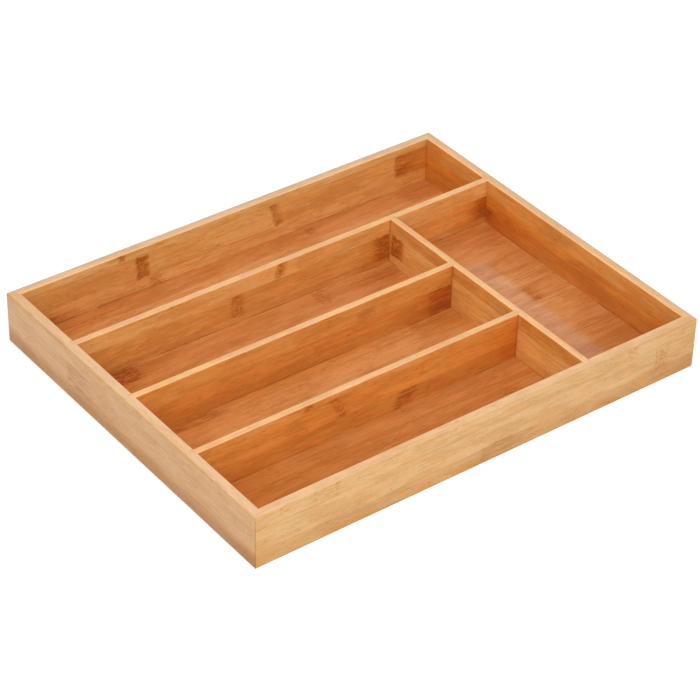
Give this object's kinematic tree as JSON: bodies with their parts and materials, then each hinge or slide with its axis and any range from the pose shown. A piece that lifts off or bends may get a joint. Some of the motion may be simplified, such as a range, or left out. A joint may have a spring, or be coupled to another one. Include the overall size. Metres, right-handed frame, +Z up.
{
  "type": "cutlery tray",
  "caption": "Low rectangular bamboo drawer tray with a full-length back lane, equal front lanes and one wide side pocket.",
  "frame": {"origin": "centre of the underside, on the surface that the tray stands on", "axes": "+X along the length from the lanes' closed left ends towards the side pocket, +Y from the front rail to the back lane, +Z up"},
  "size_m": [0.36, 0.29, 0.04],
  "materials": {
    "rail_bamboo": "satin lacquer",
    "floor_bamboo": "satin lacquer",
    "divider_bamboo": "satin lacquer",
    "tongue_bamboo": "bare",
    "brad_steel": "bright wire"
  },
  "bodies": {
    "root": {"front_rail": "rail_bamboo", "back_rail": "rail_bamboo", "left_rail": "rail_bamboo", "right_rail": "rail_bamboo", "floor_panel": "floor_bamboo", "long_divider": "divider_bamboo", "cross_divider": "divider_bamboo", "rear_lane_divider": "divider_bamboo", "front_lane_divider": "divider_bamboo", "corner_tongue_front_left": "tongue_bamboo", "corner_tongue_front_right": "tongue_bamboo", "corner_tongue_back_left": "tongue_bamboo", "corner_tongue_back_right": "tongue_bamboo", "rail_pins": "brad_steel", "divider_pins": "brad_steel"}
  },
  "joints": []
}
